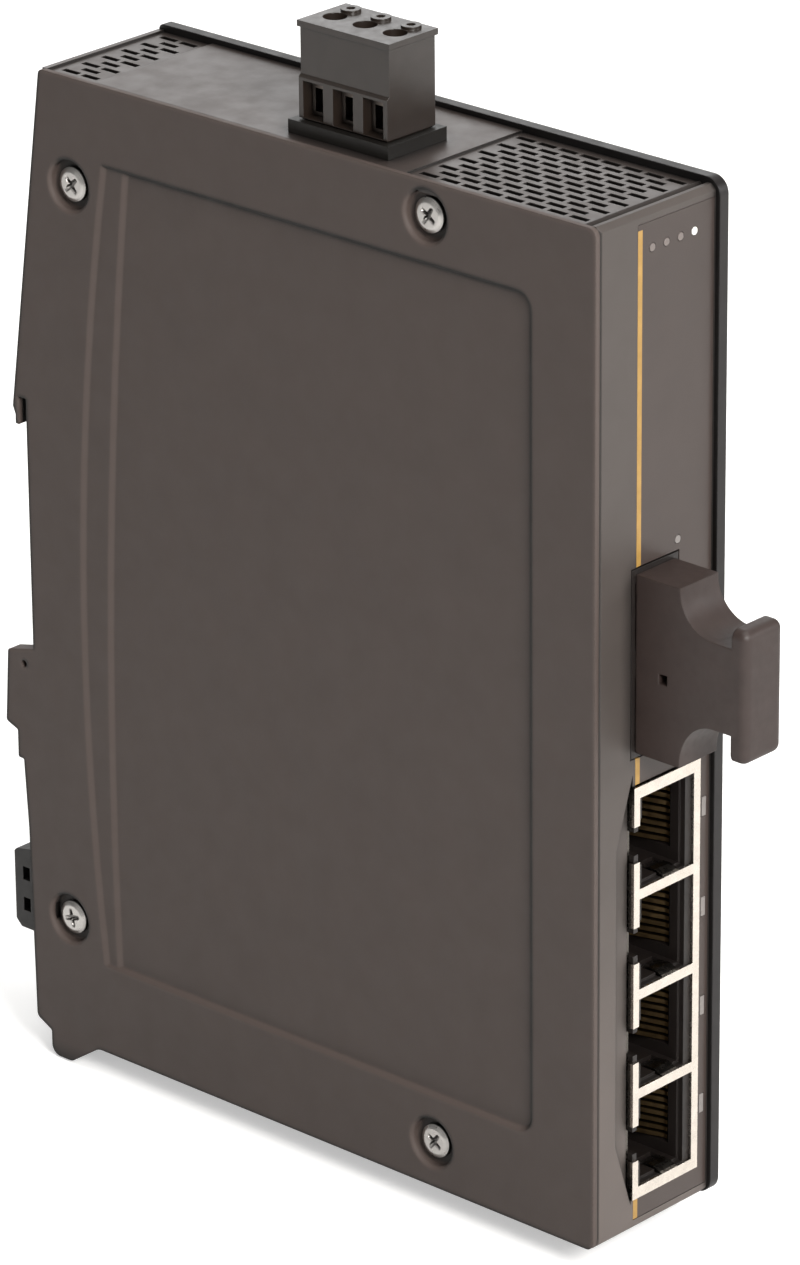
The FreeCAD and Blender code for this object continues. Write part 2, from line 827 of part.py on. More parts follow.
def cover_screw(y, z, floor_x, outward):
    """Pan-head screw standing on the floor of a well; outward is -1 on the left side."""
    inner = floor_x - outward * screw_length
    low, high = sorted((floor_x, floor_x + outward * screw_head_height))
    head = sided_rod("x", y, z, screw_head_radius, low, high, head_sides)
    low, high = sorted((floor_x, inner))
    shank = small_rod("x", y, z, screw_shank_radius, low, high)
    return join([head, shank])


def make_cover_screws():
    """Eight equal screws, four through each cover into the bosses."""
    screws = []
    for y, z in screw_places:
        screws.append(cover_screw(y, z, left_x + screw_well_depth, -1))
        screws.append(cover_screw(y, z, chassis_right_x + plate_well_floor, 1))
    return Part.makeCompound(screws)


# ---------------------------------------------------------------- board and what stands on it
def make_circuit_board():
    """Board with notches round the screw bosses and under the power header."""
    x = (board_back_x, board_face_x)
    board = box(x, (board_front_y, board_rear_y), (board_bottom_z, board_top_z))
    reach = boss_radius + board_boss_gap
    cuts = []
    for y, z in screw_places[:2]:
        far = board_top_z + 1 if z > 0 else board_bottom_z - 1
        near = z - reach if z > 0 else z + reach
        cuts.append(box((x[0] - 1, x[1] + 1), around(y, reach), sorted((near, far))))
    notch_z = (header_bottom_z - 0.4, board_top_z + 1)
    cuts.append(box((x[0] - 1, x[1] + 1), around(power_y, header_half + 0.4), notch_z))
    for y, z, side in lug_places:
        cuts.append(small_rod("x", y, z, board_screw_radius + 0.2, x[0] - 1, x[1] + 1))
    return board.cut(Part.makeCompound(cuts))


def make_board_screws():
    """Four equal screws that hold the board on the lugs."""
    screws = []
    for y, z, side in lug_places:
        head_x = (board_face_x, board_face_x + board_screw_head_height)
        head = sided_rod("x", y, z, board_screw_head, head_x[0], head_x[1], head_sides // 2)
        shank = small_rod("x", y, z, board_screw_radius, lug_left_x + 0.6, board_face_x)
        screws.append(join([head, shank]))
    return Part.makeCompound(screws)


def on_board(height, y, z):
    """Block standing on the component side of the board."""
    return box((board_face_x, board_face_x + height), y, z)


def make_switch_chip():
    """Flat square chip with its body above thin leads."""
    half = chip_side / 2
    body_x = (board_face_x + 0.2, board_face_x + chip_height)
    body = box(body_x, around(chip_y, half), around(chip_z, half))
    leads = on_board(chip_lead_height, around(chip_y, half + chip_lead), around(chip_z, half + chip_lead))
    return join([body, leads])


def make_heat_sink():
    """Finned block on the switch chip."""
    half = sink_side / 2
    foot_x = board_face_x + chip_height
    base = box((foot_x, foot_x + sink_base), around(chip_y, half), around(chip_z, half))
    solids = [base]
    pitch = (sink_side - fin_thickness) / (fin_count - 1)
    for i in range(fin_count):
        y = chip_y + (i - (fin_count - 1) / 2) * pitch
        fin_x = (foot_x + sink_base - 0.1, board_face_x + sink_height)
        solids.append(box(fin_x, around(y, fin_thickness / 2), around(chip_z, half)))
    return join(solids)


def make_magnetics(z):
    """Moulded transformer block behind a pair of ports, with bevelled long edges."""
    low_y = jack_back_y + magnetics_behind_jacks
    high_y = low_y + magnetics_depth
    high_x = board_face_x + magnetics_height
    side = [
        (board_face_x, low_y),
        (high_x - magnetics_bevel, low_y),
        (high_x, low_y + magnetics_bevel),
        (high_x, high_y - magnetics_bevel),
        (high_x - magnetics_bevel, high_y),
        (board_face_x, high_y),
    ]
    return prism("z", side, z - magnetics_length / 2, z + magnetics_length / 2)


def make_capacitors():
    """Two equal storage capacitors standing on the board."""
    cans = []
    for i in range(2):
        y = inductor_y - i * capacitor_pitch
        can_x = (board_face_x, board_face_x + capacitor_height)
        cans.append(sided_rod("x", y, capacitor_z, capacitor_radius, can_x[0], can_x[1], head_sides))
    return Part.makeCompound(cans)


def make_inductor():
    """Shielded power inductor with bevelled corners."""
    half, cut = inductor_side / 2, inductor_bevel
    y, z = inductor_y, inductor_z
    corners = [
        (y - half + cut, z - half), (y + half - cut, z - half), (y + half, z - half + cut),
        (y + half, z + half - cut), (y + half - cut, z + half), (y - half + cut, z + half),
        (y - half, z + half - cut), (y - half, z - half + cut),
    ]
    return prism("x", corners, board_face_x, board_face_x + inductor_height)


def make_power_controller():
    """Flat chip beside the power inductor."""
    high_y = inductor_y - inductor_side / 2 - controller_gap
    y = (high_y - controller_depth, high_y)
    return on_board(controller_height, y, around(inductor_z, controller_length / 2))


def make_choke():
    """Ring-shaped input choke on the board below the pins of the power header."""
    ring_x = (board_face_x, board_face_x + choke_height)
    ring = sided_rod("x", power_y, choke_z, choke_radius, ring_x[0], ring_x[1], head_sides)
    bore_x = (board_face_x + choke_floor, board_face_x + choke_height + 1)
    return ring.cut(sided_rod("x", power_y, choke_z, choke_bore, bore_x[0], bore_x[1], boss_sides))


def make_fuse():
    """Chip fuse in front of the choke."""
    high_y = power_y - choke_radius - fuse_gap
    return on_board(fuse_height, (high_y - fuse_depth, high_y), around(choke_z, fuse_length / 2))


def make_memory_chip():
    """Small chip behind the switch chip."""
    low_y = chip_y + chip_side / 2 + chip_lead + memory_gap
    return on_board(memory_height, (low_y, low_y + memory_depth), around(chip_z, memory_length / 2))


def make_crystal():
    """Crystal in a metal can with round ends, below the switch chip."""
    y = around(chip_y, crystal_length / 2)
    high_z = chip_z - chip_side / 2 - chip_lead - crystal_gap
    low_z = high_z - crystal_width
    turn = crystal_width / 2 - 0.1
    corners = [(y[0], low_z, turn), (y[1], low_z, turn), (y[1], high_z, turn), (y[0], high_z, turn)]
    return prism("x", corners, board_face_x, board_face_x + crystal_height)


# ---------------------------------------------------------------- light pipes and lamps
def make_status_pipe():
    """Clear comb whose tips are the row of status windows."""
    z = top_z - status_drop
    solids = []
    for x, place_z in status_pipe_places():
        solids.append(small_rod("y", x, place_z, pipe_radius, front_y, front_y + status_pipe_length - 1))
    right = status_pipe_places()[-1][0] + pipe_radius + 0.3
    bar_y = (front_y + status_pipe_length - pipe_bar, front_y + status_pipe_length)
    bar = box((board_face_x, right), bar_y, around(z, pipe_bar / 2))
    return join(solids + [bar])


def make_fibre_pipe():
    """Clear elbow from the board to the link window of the fibre port."""
    x, z = fibre_pipe_place()
    tip = small_rod("y", x, z, pipe_radius, front_y, front_y + fibre_pipe_length - 1)
    bar_y = (front_y + fibre_pipe_length - pipe_bar, front_y + fibre_pipe_length)
    bar = box((board_face_x, x + pipe_radius + 0.2), bar_y, around(z, pipe_radius + 0.1))
    return join([tip, bar])


def make_port_pipe():
    """Clear comb right of the jack block: four windows, four arms and legs behind the block."""
    arm_x = around(port_pipe_x, port_pipe_width / 2)
    leg_y = (jack_back_y + port_pipe_gap, jack_back_y + port_pipe_gap + pipe_bar)
    solids = []
    for z in port_zs:
        height = around(z + port_pipe_lift, port_pipe_height / 2)
        solids.append(box(arm_x, (front_y, leg_y[1]), height))
        solids.append(box((board_face_x, arm_x[1]), leg_y, height))
    low = port_zs[-1]
    high = port_zs[0]
    rail_y = front_y + port_pipe_rail_depth
    solids.append(box(arm_x, (rail_y, rail_y + pipe_bar), (low, high)))
    return join(solids)


def make_board_leds():
    """Nine equal lamps on the board at the feet of the light pipes."""
    lamps = []
    half = lamp_side / 2
    z = top_z - status_drop
    for i in range(status_pipe_count):
        y = front_y + status_pipe_length + 0.2 + half + i * (lamp_side + 0.1)
        lamps.append(on_board(lamp_height, around(y, half), around(z - half, half)))
    y = front_y + fibre_pipe_length + 0.2 + half
    lamps.append(on_board(lamp_height, around(y, half), around(fibre_pipe_place()[1], half)))
    for port_z in port_zs:
        y = jack_back_y + port_pipe_gap + pipe_bar + half
        lamps.append(on_board(lamp_height, around(y, half), around(port_z + port_pipe_lift, half)))
    return Part.makeCompound(lamps)


# ---------------------------------------------------------------- jack block
def spring_tab(port_z, side, grow):
    """Bowed grounding spring that the shield folds into a port, on its upper or lower side."""
    root = port_z + side * (port_pitch - shield_bar) / 2
    out = root + side * grow
    low_y = jack_front_y
    high_y = jack_front_y + spring_tab_length + grow
    bow = root - side * (spring_tab_bulge + grow)
    sheet = side * shield_sheet
    outline = [
        (low_y, out + sheet),
        (low_y, out),
        (low_y + 1.6, bow),
        (low_y + 2.6, bow),
        (high_y, out),
        (high_y, out + sheet),
    ]
    plug_x = socket_limits()
    x = around(plug_x[1] - 2.6, spring_tab_width / 2 + grow)
    return prism("x", outline, x[0], x[1])


def make_jack_shield():
    """Bright sheet can round all four jacks with a frame of ports, key slots and springs."""
    x = (jack_left_x, jack_right_x)
    z = (jack_bottom_z, jack_top_z)
    can = box(x, (jack_front_y, jack_back_y), z)
    s = shield_sheet
    hollow_x = (x[0] + s, x[1] - s)
    hollow_z = (z[0] + s, z[1] - s)
    cuts = [box(hollow_x, (jack_front_y + s, jack_back_y + 1), hollow_z)]
    for port_z in port_zs:
        half = (port_pitch - shield_bar) / 2
        port_x = (x[0] + shield_left_margin, x[1] - shield_right_margin)
        cuts.append(box(port_x, (jack_front_y - 1, jack_front_y + 1), around(port_z, half)))
        key_x = (x[0] - 1, port_x[1])
        cuts.append(box(key_x, (jack_front_y - 1, jack_front_y + 1.2), around(port_z, key_height / 2)))
    shield = can.cut(Part.makeCompound(cuts))
    tabs = [spring_tab(port_z, side, 0.0) for port_z in port_zs for side in (-1, 1)]
    return join([shield] + tabs)


def socket_limits():
    """x limits of the plug space in each jack."""
    low = jack_left_x + shield_left_margin + 1.1
    return (low, low + socket_width)


def make_jack_housing():
    """Black moulding with four stepped sockets, each with a key channel for the plug's latch."""
    s = shield_sheet
    x = (jack_left_x + s + 0.02, jack_right_x - s - 0.02)
    y = (jack_front_y + s + 0.02, jack_back_y - 0.2)
    z = (jack_bottom_z + s + 0.02, jack_top_z - s - 0.02)
    block = box(x, y, z)
    plug_x = socket_limits()
    cuts = []
    for port_z in port_zs:
        deep = (y[0] - 1, y[0] + socket_depth)
        cuts.append(box(plug_x, deep, around(port_z, socket_height / 2)))
        mouth = around(port_z, socket_height / 2 + 0.35)
        cuts.append(box((plug_x[0] - 0.3, plug_x[1] + 0.3), (y[0] - 1, y[0] + 0.8), mouth))
        key = around(port_z, key_height / 2 - 0.9)
        cuts.append(box((x[0] - 1, plug_x[0] + 1), (deep[0], deep[1] - 2), key))
        wide = around(port_z, key_height / 2 + 0.6)
        cuts.append(box((x[0] + 0.8, plug_x[0] + 1), (deep[0], deep[1] - 2), wide))
        contact_room = around(port_z, contact_count / 2 * contact_pitch + 0.1)
        cuts.append(box((plug_x[1] - 1, plug_x[1] + 0.9), (y[0] + 2.2, deep[1]), contact_room))
        tab_x = around(plug_x[1] - 2.6, spring_tab_width / 2 + 0.2)
        tab_y = (y[0] - 1, jack_front_y + spring_tab_length + 0.3)
        tab_room = (port_pitch - shield_bar) / 2 + shield_sheet + 0.05
        cuts.append(box(tab_x, tab_y, around(port_z, tab_room)))
    return block.cut(Part.makeCompound(cuts))


def make_jack_contacts(port_z):
    """Eight sloping spring contacts on the right side of one socket."""
    front = jack_front_y + shield_sheet + 2.6
    back = jack_front_y + shield_sheet + socket_depth
    root_x = socket_limits()[1] + 0.85
    tip_x = root_x - 3.4
    t = 0.35
    side = [
        (root_x, front),
        (root_x, front + 1.4),
        (tip_x + t, back),
        (tip_x - 0.1, back),
        (tip_x - 0.1, back - 1.2),
        (root_x - t - 0.2, front + 0.6),
        (root_x - t - 0.2, front),
    ]
    strips = []
    for i in range(contact_count):
        z = port_z + (i - (contact_count - 1) / 2) * contact_pitch
        strips.append(prism("z", side, z - contact_width / 2, z + contact_width / 2))
    return Part.makeCompound(strips)


# ---------------------------------------------------------------- fibre port
def snout_limits(gap):
    """x and z limits of the fibre port's snout, grown by a gap."""
    half_x = snout_width / 2 + gap
    half_z = snout_height / 2 + gap
    return (around(cap_x, half_x), around(fibre_z, half_z))


def make_fibre_module():
    """Fibre transceiver: a snout with two receptacles on a wider body along the board."""
    snout_x, snout_z = snout_limits(0.0)
    snout_x = (board_face_x, snout_x[1])
    snout = box(snout_x, (front_y, front_y + snout_length + 1), snout_z)
    body_x = (board_face_x, board_face_x + fibre_body_width)
    body_y = (front_y + snout_length, front_y + fibre_body_length)
    body = box(body_x, body_y, snout_z)
    collar = box(snout_limits(0.0)[0], (front_y, front_y + 2.0), snout_z)
    module = join([snout, body, collar])
    cuts = []
    for z in fibre_zs:
        mouth = (front_y - 1, front_y + snout_length)
        hole_x = around(cap_x, fibre_hole_width / 2)
        cuts.append(box(hole_x, mouth, around(z, fibre_hole_height / 2)))
    module = module.cut(Part.makeCompound(cuts))
    sleeves = []
    for z in fibre_zs:
        back = front_y + snout_length + 0.5
        sleeve = sided_rod("y", cap_x, z, sleeve_radius, back - sleeve_length, back, boss_sides)
        sleeves.append(sleeve)
    module = join([module] + sleeves)
    bores = []
    for z in fibre_zs:
        bores.append(small_rod("y", cap_x, z, sleeve_bore, front_y, front_y + snout_length - 1))
    return module.cut(Part.makeCompound(bores))


def make_dust_cap():
    """Cap for both receptacles: block, concave shoulders, neck, finger bar and two posts."""
    back = front_y - 0.05
    face = back - cap_base_length
    neck_back = face - cap_arc_radius
    bar_back = back - cap_neck_length
    bar_front = bar_back - cap_bar_thickness
    half = cap_height / 2
    neck = half - cap_arc_radius - 0.3
    bar = cap_bar_height / 2
    turn = cap_arc_radius * (1 - math.sqrt(0.5))
    z = fibre_z
    low_x = cap_x - cap_width / 2
    p = [
        (back, z - half), (back, z + half), (face, z + half),
        (face - turn, z + neck + turn), (neck_back, z + neck),
        (bar_back, z + neck), (bar_back, z + bar), (bar_front, z + bar),
        (bar_front, z - bar), (bar_back, z - bar), (bar_back, z - neck),
        (neck_back, z - neck), (face - turn, z - neck - turn), (face, z - half),
    ]
    p = [V(low_x, a, b) for a, b in p]
    step = V(low_x, face, z + neck + cap_arc_radius)
    foot = V(low_x, face, z - neck - cap_arc_radius)
    edges = [
        Part.makeLine(p[0], p[1]), Part.makeLine(p[1], p[2]), Part.makeLine(p[2], step),
        Part.Arc(step, p[3], p[4]).toShape(), Part.makeLine(p[4], p[5]),
        Part.makeLine(p[5], p[6]), Part.makeLine(p[6], p[7]), Part.makeLine(p[7], p[8]),
        Part.makeLine(p[8], p[9]), Part.makeLine(p[9], p[10]), Part.makeLine(p[10], p[11]),
        Part.Arc(p[11], p[12], foot).toShape(), Part.makeLine(foot, p[13]),
        Part.makeLine(p[13], p[0]),
    ]
    cap = Part.Face(Part.Wire(edges)).extrude(V(cap_width, 0, 0))
    rounds = []
    for edge in cap.Edges:
        box_of_edge = edge.BoundBox
        upright = box_of_edge.ZLength > cap_bar_height - 0.1 and box_of_edge.YLength < 0.01
        across = box_of_edge.XLength > cap_width - 0.1
        along = box_of_edge.YLength > cap_bar_thickness - 0.1 and box_of_edge.YMax < bar_back + 0.05
        if along or box_of_edge.YMax < bar_front + 0.05 and (upright or across):
            rounds.append(edge)
    cap = cap.makeFillet(cap_edge, rounds)
    posts = []
    for hole_z in fibre_zs:
        x = around(cap_x, fibre_hole_width / 2 - cap_post_side_gap)
        height = around(hole_z, fibre_hole_height / 2 - cap_post_side_gap)
        post = box(x, (back - 0.5, front_y + cap_post_length), height)
        well = sided_rod("y", cap_x, hole_z, sleeve_radius + cap_post_side_gap, front_y + 0.5,
                         front_y + cap_post_length + 1, boss_sides)
        posts.append(post.cut(well))
    cap = join([cap] + posts)
    eyelet = box((low_x - 1, low_x + cap_width + 1), around(back - 4.4, cap_hole / 2),
                 around(z - 0.9, cap_hole / 2))
    return cap.cut(eyelet)


# ---------------------------------------------------------------- power connector
def make_power_header():
    """Shrouded header: body through the top wall and a dark rim lying on it."""
    lip = header_rim_lip
    body = box((header_left_x, header_right_x), around(power_y, header_half),
               (header_bottom_z, header_top_z))
    rim = box((header_left_x - lip, header_right_x + lip), around(power_y, header_half + lip),
              (top_z, header_top_z))
    header = join([body, rim])
    inside = box((header_left_x + header_wall, header_right_x - header_wall),
                 around(power_y, header_half - header_wall), (header_floor_z, header_top_z + 1))
    cuts = [inside]
    for y in pole_ys:
        cuts.append(box(around(pin_x, pin_side / 2), around(y, pin_side / 2),
                        (header_bottom_z - 1, header_top_z)))
    return header.cut(Part.makeCompound(cuts))


def make_header_pins():
    """Three equal square pins, flat on the board below and free in the shroud above."""
    pins = []
    for y in pole_ys:
        pins.append(box(around(pin_x, pin_side / 2), around(y, pin_side / 2),
                        (header_bottom_z - pin_tail, header_floor_z + pin_rise)))
    return Part.makeCompound(pins)


def make_terminal_plug():
    """Plug: tongue in the header, body with wire windows, screw shafts and test collars."""
    wide = around(power_y, plug_half)
    upper = box((plug_left_x + plug_ledge, plug_right_x), wide, (plug_base_z, plug_top_z))
    ledge_z = top_z + plug_ledge_height
    lower = box((plug_left_x, plug_right_x), wide, (plug_base_z, ledge_z))
    lower = lower.makeChamfer(0.3, [e for e in lower.Edges if is_ledge_edge(e, ledge_z)])
    brim = box((plug_left_x + plug_ledge - plug_brim, plug_right_x + plug_brim),
               around(power_y, plug_half + plug_brim), (plug_top_z - plug_brim_height, plug_top_z))
    tongue_x = (header_left_x + header_wall + plug_gap, header_right_x - header_wall - plug_gap)
    tongue_y = around(power_y, header_half - header_wall - plug_gap)
    tongue = box(tongue_x, tongue_y, (header_floor_z + 0.4, plug_base_z + 0.4))
    solids = [upper, lower, brim, tongue]
    collar_x = plug_right_x - collar_inset
    for y in pole_ys:
        solids.append(rod("z", collar_x, y, collar_radius, plug_top_z - 0.5, plug_top_z + collar_height))
    plug = join(solids)
    shaft_x = plug_left_x + access_inset
    cuts = []
    for y in pole_ys:
        cuts.append(rod("z", shaft_x, y, access_radius, plug_top_z - access_depth, plug_top_z + 1))
        cuts.append(small_rod("z", collar_x, y, collar_bore, plug_top_z - 2, plug_top_z + 1))
        cuts.append(clamp_room(y))
        cuts.append(box(around(pin_x, socket_side / 2), around(y, socket_side / 2),
                        (header_floor_z, window_low_z + 0.1)))
        cuts.append(small_rod("z", shaft_x, y, 1.05, window_low_z + window_height - 1,
                               plug_top_z - access_depth + 1))
    return plug.cut(Part.makeCompound(cuts))


def is_ledge_edge(edge, ledge_z):
    """The outer upper edge of the plug's wider lower half."""
    limits = edge.BoundBox
    return limits.ZMin > ledge_z - 0.01 and limits.XMax < plug_left_x + 0.01


def clamp_room(y):
    """Window and the room behind it for one clamp."""
    return box((plug_left_x - 1, plug_left_x + window_depth), around(y, window_width / 2),
               (window_low_z, window_low_z + window_height))


def make_plug_clamps():
    """Three equal square wire clamps with an open mouth towards the windows."""
    clamps = []
    low = window_low_z + 0.05
    high = low + window_height - 0.1
    x = (plug_left_x + clamp_setback, plug_left_x + window_depth - 0.1)
    half = window_width / 2 - 0.1
    for y in pole_ys:
        frame = box(x, around(y, half), (low, high))
        hole = box((x[0] - 1, x[1] + 1), around(y, half - clamp_sheet),
                   (low + clamp_sheet, high - clamp_sheet - 0.6))
        clamps.append(frame.cut(hole))
    return Part.makeCompound(clamps)


def make_plug_screws():
    """Three equal clamp screws at the foot of the screwdriver shafts."""
    screws = []
    shaft_x = plug_left_x + access_inset
    seat = plug_top_z - access_depth
    for y in pole_ys:
        head = sided_rod("z", shaft_x, y, access_radius - 0.1, seat, seat + 1.4, boss_sides)
        shank = small_rod("z", shaft_x, y, 0.95, window_low_z + window_height - 0.05, seat)
        slot = box(around(shaft_x, 0.25), around(y, 2.0), (seat + 0.8, seat + 2))
        screws.append(join([head, shank]).cut(slot))
    return Part.makeCompound(screws)


def make_plug_contacts():
    """Three equal forks that grip the pins from both sides and end under the clamps."""
    forks = []
    top = window_low_z + 0.05
    pin_end = header_floor_z + 7.4
    for y in pole_ys:
        x = around(pin_x, pin_side / 2)
        reach = pin_side / 2 + slide_gap
        bridge = box(x, around(y, reach + leaf_thickness), (pin_end + 0.4, top))
        leaves = []
        for side in (-1, 1):
            leaf_y = sorted((y + side * reach, y + side * (reach + leaf_thickness)))
            leaves.append(box(x, leaf_y, (header_floor_z + 0.8, pin_end + 0.5)))
        forks.append(join([bridge] + leaves))
    return Part.makeCompound(forks)


# ---------------------------------------------------------------- rail latch
def make_latch_slider():
    """Sprung slide: jaw behind the rail, flanged plate, grip block with windows, pull foot."""
    top = jaw_top_z
    shoulder = -rail_height / 2 - 0.7
    foot_top = bottom_z - slide_gap
    plate = box(around(0, latch_half_width), (latch_front_y, latch_back_y), (foot_top - 0.5, shoulder))
    flange = box(around(0, flange_half_width), (latch_front_y, latch_front_y + flange_thickness),
                 (foot_top - 0.5, shoulder - 3))
    jaw_y = hook_front_y - 0.1
    jaw = [
        (jaw_y, top),
        (jaw_y, top - jaw_height),
        (jaw_y + jaw_thickness, top - jaw_height),
        (jaw_y + jaw_thickness, top - jaw_ramp),
        (jaw_y + 0.8, top),
    ]
    jaw = prism("x", jaw, -latch_half_width, latch_half_width)
    grip_z = (bottom_z + grip_bottom_rise, bottom_z + grip_top_rise)
    lip_back = latch_front_y + flange_thickness + slide_gap + guide_thickness
    grip_side = [
        (lip_back + slide_gap, grip_z[1] + grip_bevel),
        (grip_reach - 0.4, grip_z[1]),
        (grip_reach, grip_z[1] - 0.4),
        (grip_reach, grip_z[0] + grip_bevel),
        (grip_reach - grip_bevel, grip_z[0]),
        (lip_back + slide_gap, grip_z[0]),
    ]
    grip = prism("x", grip_side, -grip_half_width, grip_half_width)
    waist = box(around(0, latch_half_width), (latch_back_y - 0.5, grip_reach - 0.5), grip_z)
    foot = [
        (latch_back_y, foot_top),
        (latch_back_y - 0.6, foot_top - foot_drop * 0.7),
        (latch_back_y - 2.0, foot_top - foot_drop),
        (latch_back_y - 5.0, foot_top - foot_drop),
        (latch_back_y - foot_length, foot_top - 0.9),
        (latch_back_y - foot_length, foot_top),
    ]
    foot = prism("x", foot, -flange_half_width, flange_half_width)
    slider = join([plate, flange, jaw, grip, waist, foot])
    cuts = []
    for i in range(2):
        z = grip_z[1] - 3.3 - i * 4.6
        cuts.append(box(around(0, grip_half_width + 1), around(grip_reach - 2.2, grip_window / 2),
                        around(z, grip_window * 0.75)))
    window_z = (ledge_z - ledge_height - 0.5, ledge_z + spring_length)
    cuts.append(box(around(0, 2.2), (latch_front_y - 1, latch_back_y + 1), window_z))
    tool_y = around(latch_back_y - foot_length * 0.62, 0.8)
    cuts.append(box(around(0, 2.8), tool_y, (foot_top - foot_drop, foot_top + 1)))
    return slider.cut(Part.makeCompound(cuts))


def make_latch_spring():
    """Pressure spring between the ledge of the rear wall and the window of the slider."""
    sides = 8
    half = spring_wire / 2
    base = ledge_z + 0.1 + half
    pitch = (spring_length - 0.2 - spring_wire) / spring_turns
    sections = []
    for i in range(sides * spring_turns + 1):
        angle = 2 * math.pi * i / sides
        out = V(math.cos(angle), math.sin(angle), 0)
        middle = V(0, spring_y, base + pitch * i / sides) + out * spring_radius
        rise = V(0, 0, half)
        sections.append([middle + out * half + rise, middle - out * half + rise,
                         middle - out * half - rise, middle + out * half - rise])
    facets = [flat_facet(sections[0]), flat_facet(sections[-1][::-1])]
    for one, two in zip(sections, sections[1:]):
        for k in range(4):
            n = (k + 1) % 4
            facets.append(flat_facet([one[k], two[k], two[n]]))
            facets.append(flat_facet([one[k], two[n], one[n]]))
    spring = Part.Solid(Part.makeShell(facets))
    if spring.Volume < 0:
        spring.reverse()
    return spring


def flat_facet(spots):
    """Flat face through three or four places."""
    return Part.Face(Part.makePolygon(spots + [spots[0]]))


# ---------------------------------------------------------------- write every node
nodes = {
    "left_cover": make_left_cover(),
    "right_cover": make_right_cover(),
    "chassis": make_chassis(),
    "front_bezel": make_front_bezel(),
    "front_film": make_front_film(),
    "cover_screws": make_cover_screws(),
    "circuit_board": make_circuit_board(),
    "board_screws": make_board_screws(),
    "switch_chip": make_switch_chip(),
    "heat_sink": make_heat_sink(),
    "port_magnetics_upper": make_magnetics((port_zs[0] + port_zs[1]) / 2),
    "port_magnetics_lower": make_magnetics((port_zs[2] + port_zs[3]) / 2),
    "storage_capacitors": make_capacitors(),
    "power_inductor": make_inductor(),
    "input_choke": make_choke(),
    "crystal": make_crystal(),
    "memory_chip": make_memory_chip(),
    "power_controller": make_power_controller(),
    "input_fuse": make_fuse(),
    "board_leds": make_board_leds(),
    "status_light_pipe": make_status_pipe(),
    "fibre_light_pipe": make_fibre_pipe(),
    "port_light_pipe": make_port_pipe(),
    "jack_shield": make_jack_shield(),
    "jack_housing": make_jack_housing(),
    "fibre_module": make_fibre_module(),
    "dust_cap": make_dust_cap(),
    "power_header": make_power_header(),
    "header_pins": make_header_pins(),
    "terminal_plug": make_terminal_plug(),
    "plug_clamps": make_plug_clamps(),
    "plug_screws": make_plug_screws(),
    "plug_contacts": make_plug_contacts(),
    "latch_slider": make_latch_slider(),
    "latch_spring": make_latch_spring(),
}
for index, port_z in enumerate(port_zs):
    nodes["jack_contacts_port_%d" % (index + 1)] = make_jack_contacts(port_z)

for name, shape in nodes.items():
    write(name, shape)
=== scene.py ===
import math

import bmesh
import bpy
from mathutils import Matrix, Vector


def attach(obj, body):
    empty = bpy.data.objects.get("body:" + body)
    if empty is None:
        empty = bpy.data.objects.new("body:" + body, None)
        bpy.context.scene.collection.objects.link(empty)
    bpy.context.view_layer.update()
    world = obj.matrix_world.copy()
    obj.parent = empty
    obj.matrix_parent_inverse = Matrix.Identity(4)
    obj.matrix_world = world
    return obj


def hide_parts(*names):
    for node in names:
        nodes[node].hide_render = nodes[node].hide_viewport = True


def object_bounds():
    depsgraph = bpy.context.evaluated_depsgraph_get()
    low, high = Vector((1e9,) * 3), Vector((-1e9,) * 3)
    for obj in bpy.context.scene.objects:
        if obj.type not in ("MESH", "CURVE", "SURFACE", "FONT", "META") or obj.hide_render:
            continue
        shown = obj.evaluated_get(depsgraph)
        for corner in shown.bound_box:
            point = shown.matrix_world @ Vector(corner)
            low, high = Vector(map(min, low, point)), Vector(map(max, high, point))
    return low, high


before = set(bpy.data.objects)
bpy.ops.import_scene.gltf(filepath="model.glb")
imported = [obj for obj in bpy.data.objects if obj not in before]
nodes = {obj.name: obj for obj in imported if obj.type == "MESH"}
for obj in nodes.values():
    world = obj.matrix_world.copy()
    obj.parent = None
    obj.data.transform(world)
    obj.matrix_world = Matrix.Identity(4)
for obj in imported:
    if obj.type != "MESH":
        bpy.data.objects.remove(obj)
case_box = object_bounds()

# The part's sizes and places are in millimetres, and the stage's are in metres.
MM = 0.001


# ---------------------------------------------------------------- materials
def add_node(tree, kind, **settings):
    """A new shader node with its settings."""
    node = tree.nodes.new(kind)
    for key, value in settings.items():
        setattr(node, key, value)
    return node


def set_ramp(node, low, high, at_low, at_high):
    """Sets a Map Range node to go from one value to another between low and high."""
    node.inputs["From Min"].default_value = low
    node.inputs["From Max"].default_value = high
    node.inputs["To Min"].default_value = at_low
    node.inputs["To Max"].default_value = at_high


def scaled(colour, factor):
    """The colour made paler or darker by a factor."""
    return tuple(c * factor for c in colour)


